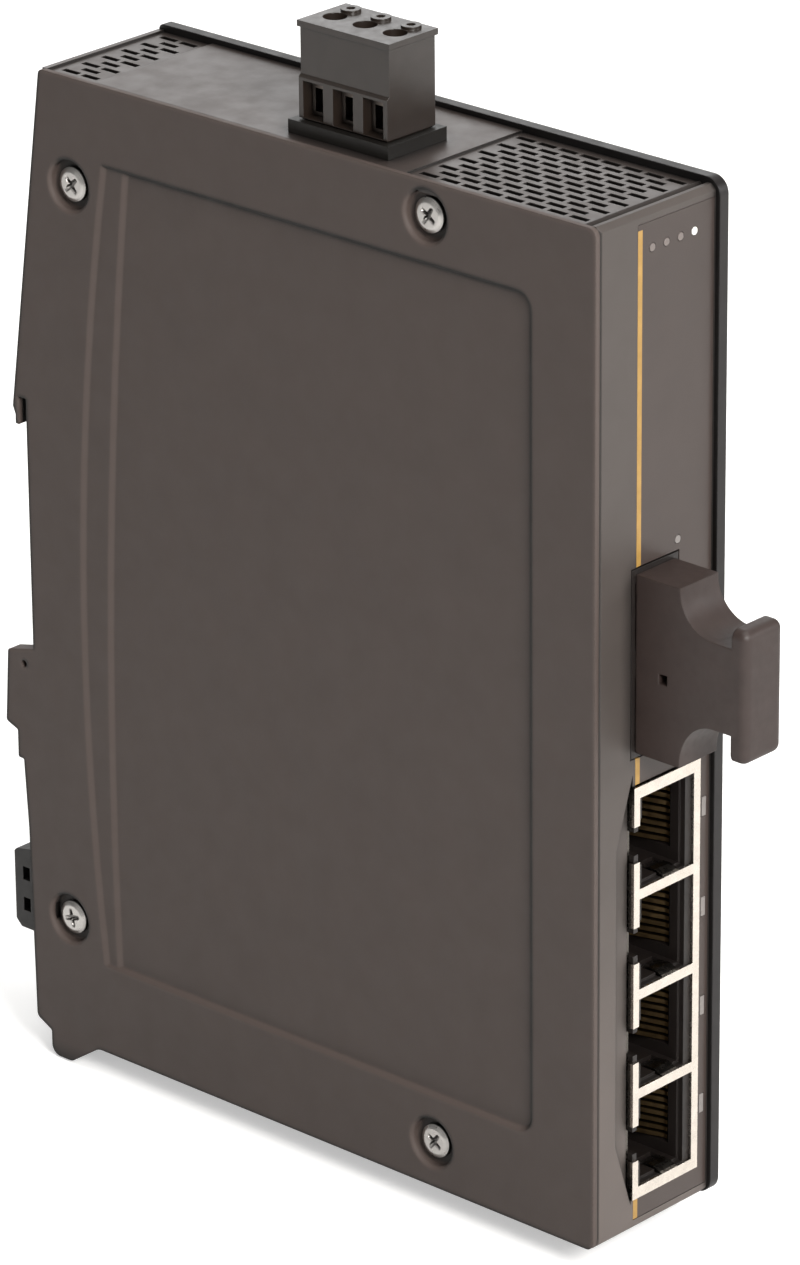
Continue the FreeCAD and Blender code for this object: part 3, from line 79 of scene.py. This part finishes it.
class Look:
    """A procedural material around one Principled shader."""

    def __init__(self, name, colour, roughness, metallic=0.0):
        self.mat = bpy.data.materials.new(name)
        self.mat.use_nodes = True
        self.tree = self.mat.node_tree
        self.shader = self.tree.nodes["Principled BSDF"]
        self.colour = colour
        self.roughness = roughness
        self.shader.inputs["Base Color"].default_value = (*colour, 1.0)
        self.shader.inputs["Roughness"].default_value = roughness
        self.shader.inputs["Metallic"].default_value = metallic
        self.place = self.add("ShaderNodeTexCoord").outputs["Object"]

    def add(self, kind, **settings):
        return add_node(self.tree, kind, **settings)

    def link(self, out, into):
        self.tree.links.new(out, into)

    def paint(self, output):
        self.link(output, self.shader.inputs["Base Color"])

    def painted(self):
        """The output that paints the surface now."""
        return self.shader.inputs["Base Color"].links[0].from_socket

    def noise(self, size_mm, detail=3.0):
        """Noise with lumps of about the given size."""
        mapping = self.add("ShaderNodeMapping")
        mapping.inputs["Scale"].default_value = (1.0 / (size_mm * MM),) * 3
        self.link(self.place, mapping.inputs["Vector"])
        noise = self.add("ShaderNodeTexNoise")
        noise.inputs["Scale"].default_value = 1.0
        noise.inputs["Detail"].default_value = detail
        self.link(mapping.outputs["Vector"], noise.inputs["Vector"])
        return noise.outputs["Fac"]

    def ramp(self, value, low, high, at_low, at_high, shape="SMOOTHSTEP"):
        """Maps a value from the range low to high onto another range."""
        node = self.add("ShaderNodeMapRange", interpolation_type=shape)
        set_ramp(node, low, high, at_low, at_high)
        self.link(value, node.inputs["Value"])
        return node.outputs["Result"]

    def spread(self, noise, at_low, at_high):
        """Maps noise, which rarely leaves the range 0.3 to 0.7, onto another range."""
        return self.ramp(noise, 0.3, 0.7, at_low, at_high, "LINEAR")

    def mix(self, factor, first, second):
        """Mix of two colours, each a tuple or an output."""
        node = self.add("ShaderNodeMix", data_type="RGBA")
        self.link(factor, node.inputs["Factor"])
        for socket, value in ((node.inputs[6], first), (node.inputs[7], second)):
            if isinstance(value, tuple):
                socket.default_value = (*value, 1.0)
            else:
                self.link(value, socket)
        return node.outputs[2]

    def mottle(self, size_mm, amount):
        """Slight change of brightness over the surface."""
        low, high = scaled(self.colour, 1 - amount), scaled(self.colour, 1 + amount)
        return self.mix(self.spread(self.noise(size_mm), 0.0, 1.0), low, high)

    def vary_roughness(self, size_mm, amount):
        """Slight change of roughness over the surface."""
        low, high = self.roughness - amount, self.roughness + amount
        self.link(self.spread(self.noise(size_mm), low, high), self.shader.inputs["Roughness"])

    def soft_normal(self, edge_mm, samples):
        """Surface normal that is rounded near edges."""
        bevel = self.add("ShaderNodeBevel", samples=samples)
        bevel.inputs["Radius"].default_value = edge_mm * MM
        return bevel.outputs["Normal"]

    def grain(self, size_mm, depth_mm, edge_mm):
        """Fine relief on top of softened edges."""
        bump = self.add("ShaderNodeBump")
        bump.inputs["Strength"].default_value = 1.0
        bump.inputs["Distance"].default_value = depth_mm * MM
        self.link(self.noise(size_mm, detail=2.0), bump.inputs["Height"])
        self.link(self.soft_normal(edge_mm, samples=4), bump.inputs["Normal"])
        self.link(bump.outputs["Normal"], self.shader.inputs["Normal"])

    def paint_fold_light(self, output, edge_mm, toward, pale, dark):
        """Paler where softened folds turn towards a direction, darker where they turn away: painted
        highlight and painted shade.
        """
        start, full = 0.02, 0.20
        turn = self.add("ShaderNodeVectorMath", operation="DOT_PRODUCT")
        turn.inputs[1].default_value = toward
        self.link(self.soft_normal(edge_mm, samples=6), turn.inputs[0])
        lift = self.ramp(turn.outputs["Value"], start, full, 0.0, 1.0)
        drop = self.ramp(turn.outputs["Value"], -full, -start, 1.0, 0.0)
        return self.mix(drop, self.mix(lift, output, pale), dark)

    def paint_corner_shade(self, output, reach_mm, dark, power):
        """Darkens a colour in narrow corners and gaps: painted shade."""
        shade = self.add("ShaderNodeAmbientOcclusion", samples=6)
        shade.inputs["Distance"].default_value = reach_mm * MM
        curve = self.add("ShaderNodeMath", operation="POWER")
        curve.inputs[1].default_value = power
        self.link(shade.outputs["AO"], curve.inputs[0])
        return self.mix(curve.outputs[0], dark, output)

    def falling(self, axis, low_mm, high_mm):
        """1 below the lower place along an axis, 0 above the higher one."""
        split = self.add("ShaderNodeSeparateXYZ")
        self.link(self.place, split.inputs[0])
        along = split.outputs["XYZ".index(axis)]
        return self.ramp(along, low_mm * MM, high_mm * MM, 1.0, 0.0)

    def below(self, axis, level_mm):
        """1 where the place along an axis is below a level, 0 above it."""
        blur = 0.02
        return self.falling(axis, level_mm - blur, level_mm + blur)

    def paint_light_below(self, output, low_mm, high_mm, factor):
        """Multiplies a colour by a factor that fades out between two heights: painted light that changes
        with height.
        """
        paler = self.mix(self.falling("Z", low_mm, high_mm), (1.0, 1.0, 1.0), (factor,) * 3)
        node = self.add("ShaderNodeMix", data_type="RGBA", blend_type="MULTIPLY")
        node.inputs["Factor"].default_value = 1.0
        self.link(output, node.inputs[6])
        self.link(paler, node.inputs[7])
        return node.outputs[2]


def coated(name, colour, roughness, grain_mm, depth_mm, edge_mm=0.2, shade_power=3.0):
    """Powder coat: mottled, grained, with painted shade in its corners."""
    look = Look(name, colour, roughness)
    mottled = look.mottle(size_mm=6.0, amount=0.05)
    # Painted shade: the colour darkens in corners and gaps.
    look.paint(look.paint_corner_shade(mottled, reach_mm=3.0, dark=scaled(colour, 0.04), power=shade_power))
    look.vary_roughness(size_mm=3.0, amount=0.05)
    look.grain(grain_mm, depth_mm, edge_mm)
    return look


def metal(name, colour, roughness, depth_mm=0.004):
    """Plated or bare metal, with painted shade in its corners."""
    look = Look(name, colour, roughness, metallic=1.0)
    mottled = look.mottle(size_mm=1.5, amount=0.06)
    # Painted shade: the colour darkens in corners and gaps.
    look.paint(look.paint_corner_shade(mottled, reach_mm=1.4, dark=scaled(colour, 0.12), power=1.6))
    look.vary_roughness(size_mm=0.8, amount=0.06)
    look.grain(0.3, depth_mm, edge_mm=0.06)
    return look


def moulded(name, colour, roughness, edge_mm=0.12, depth_mm=0.006):
    """Moulded plastic with a fine eroded surface."""
    look = Look(name, colour, roughness)
    look.paint(look.mottle(size_mm=2.5, amount=0.08))
    look.vary_roughness(size_mm=1.2, amount=0.06)
    look.grain(0.25, depth_mm, edge_mm)
    return look


def side_coating():
    """Coat of the left cover, with painted highlight and painted shade along the folds of its sunk panel.
    """
    up_and_forward = (0.0, -0.71, 0.71)
    fold_mm = 0.85
    colour = (0.055, 0.041, 0.036)
    pale, dark = scaled(colour, 1.4), scaled(colour, 0.07)
    look = coated("side coat", colour, 0.62, grain_mm=0.35, depth_mm=0.010, edge_mm=0.45, shade_power=2.3)
    # Painted light: folds facing up and forward are paler, folds facing down and back darker.
    look.paint(look.paint_fold_light(look.painted(), fold_mm, up_and_forward, pale, dark))
    return look


def front_coating():
    """Coat of the front wall, with painted light making it a little paler towards the foot."""
    look = coated("front coat", (0.064, 0.053, 0.048), 0.5, grain_mm=0.25, depth_mm=0.004)
    look.paint(look.paint_light_below(look.painted(), low_mm=-72.0, high_mm=0.0, factor=1.7))
    return look


def printed_film():
    """Front film: satin lacquer with a printed yellow line along its left edge, and painted light making
    it a little paler lower down.
    """
    line_right_x, line_top_z = -3.3, 62.0
    look = Look("front film", (0.046, 0.034, 0.030), 0.34)
    line = look.add("ShaderNodeMath", operation="MULTIPLY")
    look.link(look.below("X", line_right_x), line.inputs[0])
    look.link(look.below("Z", line_top_z), line.inputs[1])
    dull_yellow, bright_yellow = (0.33, 0.19, 0.045), (0.40, 0.235, 0.062)
    yellow = look.mix(look.spread(look.noise(1.5), 0.0, 1.0), dull_yellow, bright_yellow)
    mottled = look.mottle(size_mm=5.0, amount=0.04)
    # Painted light: the film is a little paler lower down.
    ground = look.paint_light_below(mottled, low_mm=-10.0, high_mm=60.0, factor=1.15)
    look.paint(look.mix(line.outputs[0], ground, yellow))
    look.vary_roughness(size_mm=4.0, amount=0.04)
    look.grain(0.5, 0.003, edge_mm=0.1)
    return look


tin_plate = {"colour": (0.84, 0.77, 0.69), "roughness": 0.26, "depth_mm": 0.0012}


def shaded_shield_tin():
    """Tin plate with painted shade behind the front faces of the jack frame."""
    sheet_back_y = -99.1
    look = metal("frame tin", **tin_plate)
    # Painted shade inside the jack: the tin is darkened behind its front faces.
    painted_shade_tin = scaled(look.colour, 0.16)
    look.paint(look.mix(look.below("Y", sheet_back_y), painted_shade_tin, look.painted()))
    return look


def window_plastic(name, colour, clear_from_mm=None):
    """Frosted light pipe; past a place along X it is clearer."""
    look = Look(name, colour, 0.35)
    paint = look.mottle(size_mm=0.8, amount=0.08)
    if clear_from_mm is not None:
        milky, bright = (0.70, 0.70, 0.66), (0.85, 0.85, 0.80)
        clear = look.mix(look.spread(look.noise(0.8), 0.0, 1.0), milky, bright)
        paint = look.mix(look.below("X", clear_from_mm), clear, paint)
    look.paint(paint)
    look.vary_roughness(size_mm=0.6, amount=0.08)
    look.grain(0.2, 0.004, edge_mm=0.08)
    return look


def glossy_plug():
    """Plug plastic, which shines more than the other mouldings."""
    look = moulded("plug plastic", (0.018, 0.012, 0.009), 0.34, depth_mm=0.002)
    look.shader.inputs["Specular IOR Level"].default_value = 0.8
    return look


side_coat = side_coating()
front_coat = front_coating()
top_coat = coated("top coat", (0.050, 0.039, 0.035), 0.40, grain_mm=0.30, depth_mm=0.006)
black_coat = coated("black coat", (0.006, 0.004, 0.004), 0.45, grain_mm=0.35, depth_mm=0.008, edge_mm=0.3)
film = printed_film()
zinc = metal("zinc plate", (0.58, 0.56, 0.54), 0.32, depth_mm=0.002)
tin = metal("tin plate", **tin_plate)
frame_tin = shaded_shield_tin()
# Painted shade: the plug's clamps are darkened because they sit in shade behind the plug's windows.
shaded_clamp_metal = metal("clamp metal in painted shade", (0.22, 0.19, 0.17), 0.4)
spring_wire = metal("spring steel", (0.55, 0.55, 0.56), 0.3)
gold = metal("gold plate", (0.40, 0.27, 0.13), 0.38)
aluminium = metal("bare aluminium", (0.75, 0.75, 0.76), 0.35)
black = moulded("black plastic", (0.012, 0.009, 0.008), 0.42)
header_black = moulded("header plastic", (0.005, 0.004, 0.003), 0.45)
plug_black = glossy_plug()
latch_black = moulded("latch plastic", (0.010, 0.009, 0.009), 0.45)
cap_dark = moulded("cap plastic", (0.034, 0.022, 0.019), 0.5, edge_mm=0.3)
chip = moulded("chip", (0.015, 0.015, 0.017), 0.4)
ferrite = moulded("ferrite", (0.06, 0.06, 0.065), 0.6)
mask = moulded("solder mask", (0.02, 0.12, 0.05), 0.35)
lamp = moulded("lamp", (0.90, 0.88, 0.75), 0.3)
status_window = window_plastic("status windows", (0.16, 0.135, 0.125), clear_from_mm=5.0)
port_window = window_plastic("port windows", (0.22, 0.20, 0.19))

dressed = (
    (side_coat, ["left_cover"]),
    (black_coat, ["right_cover"]),
    (top_coat, ["chassis"]),
    (front_coat, ["front_bezel"]),
    (film, ["front_film"]),
    (zinc, ["cover_screws", "board_screws", "plug_screws"]),
    (tin, ["header_pins", "plug_contacts"]),
    (frame_tin, ["jack_shield"]),
    (gold, [f"jack_contacts_port_{i}" for i in (1, 2, 3, 4)]),
    (shaded_clamp_metal, ["plug_clamps"]),
    (spring_wire, ["latch_spring"]),
    (aluminium, ["heat_sink", "storage_capacitors", "crystal"]),
    (black, ["jack_housing", "fibre_module"]),
    (cap_dark, ["dust_cap"]),
    (header_black, ["power_header"]),
    (plug_black, ["terminal_plug"]),
    (latch_black, ["latch_slider"]),
    (mask, ["circuit_board"]),
    (chip, ["switch_chip", "memory_chip", "power_controller"]),
    (chip, ["port_magnetics_upper", "port_magnetics_lower"]),
    (ferrite, ["power_inductor", "input_choke"]),
    (lamp, ["input_fuse", "board_leds"]),
    (status_window, ["status_light_pipe"]),
    (port_window, ["fibre_light_pipe", "port_light_pipe"]),
)
for look, names in dressed:
    for name in names:
        data = nodes[name].data
        data.materials.clear()
        data.materials.append(look.mat)


# ---------------------------------------------------------------- shapes
def joined(name, meshes, look):
    """One object with a look, made from several meshes, which it uses up."""
    work = bmesh.new()
    for data in meshes:
        work.from_mesh(data)
        bpy.data.meshes.remove(data)
    data = bpy.data.meshes.new(name)
    work.to_mesh(data)
    work.free()
    data.materials.append(look.mat)
    piece = bpy.data.objects.new(name, data)
    bpy.context.scene.collection.objects.link(piece)
    return piece


def smooth(value, low, high):
    """0 below low, 1 above high and a soft step between them."""
    t = min(1.0, max(0.0, (value - low) / (high - low)))
    return t * t * (3.0 - 2.0 * t)


# ---------------------------------------------------------------- cover screws
head_radius = 2.35
head_height = 0.9
head_crown = 0.03
rim_drop = 0.35
rim_start = head_radius - 0.75
rim_end = head_radius + 0.1
recess_floor = 0.75
arm_half_width = 0.34
arm_taper = 0.08
arm_slope_start = 0.5
arm_end = 1.45
arm_wall_inside = 0.08
arm_wall_outside = 0.04
first_turn = 0.45
turn_per_mm = 0.13
head_steps = 96
head_rings = 26
left_well_floor_x = -10.6
right_well_floor_x = 11.0
screw_places = [(-71.4, 59.6), (-71.4, -67.5), (-9.2, 49.5), (-5.5, -55.8)]


def recess_depth(x, y):
    """Depth of the cross recess in a screw head at a place from its centre."""
    depth = 0.0
    for along, across in ((abs(x), abs(y)), (abs(y), abs(x))):
        width = arm_half_width - arm_taper * along
        wall = smooth(across, width - arm_wall_inside, width + arm_wall_outside)
        floor = recess_floor * (1.0 - smooth(along, arm_slope_start, arm_end))
        depth = max(depth, floor * (1.0 - wall))
    return depth


def head_rise(r, angle):
    """Height of a screw head's surface over the floor of its well."""
    crown = head_height - head_crown * (r / head_radius) ** 2
    rim = rim_drop * smooth(r, rim_start, rim_end)
    return crown - rim - recess_depth(r * math.cos(angle), r * math.sin(angle))


def cross_screw_head(floor_x, y, z, outward):
    """Pan head with a rounded rim and a cross recess, standing on the floor of its well."""
    turn = first_turn + y * turn_per_mm
    work = bmesh.new()

    def spot(r, angle, rise):
        across = r * math.cos(angle + turn)
        up = r * math.sin(angle + turn)
        return work.verts.new(((floor_x + outward * rise) * MM, (y + across) * MM, (z + up) * MM))

    angles = [2 * math.pi * i / head_steps for i in range(head_steps)]
    pairs = [(i, (i + 1) % head_steps) for i in range(head_steps)]
    centre = spot(0.0, 0.0, head_rise(0.0, 0.0))
    last = None
    for k in range(1, head_rings + 1):
        r = head_radius * k / head_rings
        ring = [spot(r, angle, head_rise(r, angle)) for angle in angles]
        for i, j in pairs:
            if last is None:
                work.faces.new((centre, ring[i], ring[j]))
            else:
                work.faces.new((last[i], ring[i], ring[j], last[j]))
        last = ring
    foot = [spot(head_radius, angle, 0.0) for angle in angles]
    for i, j in pairs:
        work.faces.new((last[i], foot[i], foot[j], last[j]))
    work.faces.new(foot)
    bmesh.ops.recalc_face_normals(work, faces=work.faces)
    for face in work.faces:
        # Every face but the flat foot.
        face.smooth = len(face.verts) < 5
    data = bpy.data.meshes.new("head")
    work.to_mesh(data)
    work.free()
    return data


heads = []
for y, z in screw_places:
    heads.append(cross_screw_head(left_well_floor_x, y, z, -1))
    heads.append(cross_screw_head(right_well_floor_x, y, z, 1))
screws = joined("cross_head_screws", heads, zinc)
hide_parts("cover_screws")
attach(screws, "case")


# ---------------------------------------------------------------- dust cap
def slim_cap_mesh(source):
    """The cap of the frame with slimmer sides, and a finger bar that is thinner and taller."""
    middle_x, middle_z = -0.6, 5.28
    post_half_width, bar_flat_half_width, neck_half_height, base_half_height = 3.4, 2.2, 6.3, 11.7
    wall_y, bar_back_y, bar_front_y = -99.2, -114.65, -117.55
    side_trim, bar_trim, bar_rise, bar_drop, neck_lift = 0.45, 0.6, 0.9, 1.1, 1.0
    bar_spare, spare = 0.01, 0.05
    arc_foot_z = middle_z - base_half_height
    neck_foot_z = middle_z - neck_half_height
    data = source.data.copy()
    data.name = "cap"
    for vertex in data.vertices:
        x, y, z = (c / MM for c in vertex.co)
        outside = y < wall_y
        in_bar = y < bar_back_y + bar_spare
        on_side = abs(x - middle_x) > (bar_flat_half_width if in_bar else post_half_width + spare)
        if outside and on_side:
            x -= math.copysign(side_trim, x - middle_x)
        if in_bar and abs(z - middle_z) > neck_half_height + spare:
            z += bar_rise if z > middle_z else -bar_drop
        elif outside and arc_foot_z < z < neck_foot_z + spare:
            z += neck_lift * (z - arc_foot_z) / (neck_foot_z - arc_foot_z)
        if y < (bar_back_y + bar_front_y) / 2:
            y += bar_trim
        vertex.co = (x * MM, y * MM, z * MM)
    return data


slim_cap = joined("slim_dust_cap", [slim_cap_mesh(nodes["dust_cap"])], cap_dark)
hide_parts("dust_cap")
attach(slim_cap, "fibre_cap")


# ---------------------------------------------------------------- stage
floor_half_size = 6.0
floor_glow = (0.45, 0.95)
floor_glow_reach = (0.6, 2.0)
world_light = 0.20
world_seen = 1.0


def paper_material():
    """White paper that glows towards the camera alone, and more so far from the part."""
    mat = bpy.data.materials.new("floor")
    mat.use_nodes = True
    tree = mat.node_tree
    tree.nodes.clear()
    paper = add_node(tree, "ShaderNodeBsdfDiffuse")
    paper.inputs["Color"].default_value = (0.80, 0.80, 0.80, 1)
    glow = add_node(tree, "ShaderNodeEmission")
    glow.inputs["Color"].default_value = (1, 1, 1, 1)
    place = add_node(tree, "ShaderNodeTexCoord")
    reach = add_node(tree, "ShaderNodeVectorMath", operation="LENGTH")
    far = add_node(tree, "ShaderNodeMapRange")
    set_ramp(far, *floor_glow_reach, *floor_glow)
    path = add_node(tree, "ShaderNodeLightPath")
    seen = add_node(tree, "ShaderNodeMath", operation="MULTIPLY")
    both = add_node(tree, "ShaderNodeAddShader")
    out = add_node(tree, "ShaderNodeOutputMaterial")
    for start, end in (
        (place.outputs["Object"], reach.inputs[0]),
        (reach.outputs["Value"], far.inputs["Value"]),
        (path.outputs["Is Camera Ray"], seen.inputs[0]),
        (far.outputs["Result"], seen.inputs[1]),
        (seen.outputs[0], glow.inputs["Strength"]),
        (paper.outputs[0], both.inputs[0]),
        (glow.outputs[0], both.inputs[1]),
        (both.outputs[0], out.inputs["Surface"]),
    ):
        tree.links.new(start, end)
    return mat


def make_floor(level):
    """Square of paper at the height of the part's foot."""
    work = bmesh.new()
    bmesh.ops.create_grid(work, x_segments=1, y_segments=1, size=floor_half_size)
    data = bpy.data.meshes.new("floor")
    work.to_mesh(data)
    work.free()
    floor = bpy.data.objects.new("floor", data)
    floor.location = (0, 0, level)
    bpy.context.scene.collection.objects.link(floor)
    data.materials.append(paper_material())


def soft_light(name, place, size, power, colour):
    """Rectangular lamp that shines at the middle of the part."""
    aim = Vector((0.0, -0.05, 0.0))
    data = bpy.data.lights.new(name, "AREA")
    data.shape = "RECTANGLE"
    data.size, data.size_y = size
    data.energy = power
    data.color = colour
    light = bpy.data.objects.new(name, data)
    light.location = place
    light.rotation_euler = (aim - Vector(place)).to_track_quat("-Z", "Y").to_euler()
    bpy.context.scene.collection.objects.link(light)


def make_world():
    """Faint even light, which the camera sees as white."""
    world = bpy.data.worlds.new("studio")
    bpy.context.scene.world = world
    world.use_nodes = True
    tree = world.node_tree
    background = tree.nodes["Background"]
    background.inputs["Color"].default_value = (1.0, 0.99, 0.97, 1.0)
    path = add_node(tree, "ShaderNodeLightPath")
    level = add_node(tree, "ShaderNodeMapRange")
    set_ramp(level, 0.0, 1.0, world_light, world_seen)
    tree.links.new(path.outputs["Is Camera Ray"], level.inputs["Value"])
    tree.links.new(level.outputs["Result"], background.inputs["Strength"])


def make_camera():
    """Long lens at the photograph's angle."""
    data = bpy.data.cameras.new("camera")
    data.sensor_fit = "AUTO"
    data.sensor_width = 36.0
    data.lens = 198.716
    data.clip_start = 0.05
    data.clip_end = 50.0
    camera = bpy.data.objects.new("camera", data)
    camera.location = (-0.610524, -0.618018, 0.342787)
    camera.rotation_euler = tuple(math.radians(a) for a in (67.3358, 0.4635, -47.5435))
    bpy.context.scene.collection.objects.link(camera)
    bpy.context.scene.camera = camera


warm, white = (1.0, 0.98, 0.95), (1.0, 1.0, 1.0)
# Name, place, width and height, watts and colour of each lamp.
lamps = (
    ("overhead", (0.1, -0.1, 1.2), (1.2, 1.2), 11.0, warm),
    ("front key", (-0.45, -1.15, 0.70), (0.45, 0.45), 20.0, warm),
    ("left fill", (-1.2, 0.1, 0.5), (0.8, 0.8), 0.6, warm),
    ("behind", (0.95, 1.0, 0.62), (1.2, 0.7), 5.0, white),
    ("front fill", (0.75, -1.1, 0.45), (0.6, 0.6), 5.0, white),
)

make_floor(case_box[0][2])
for settings in lamps:
    soft_light(*settings)
make_world()
make_camera()
bpy.context.scene.view_settings.view_transform = "Standard"
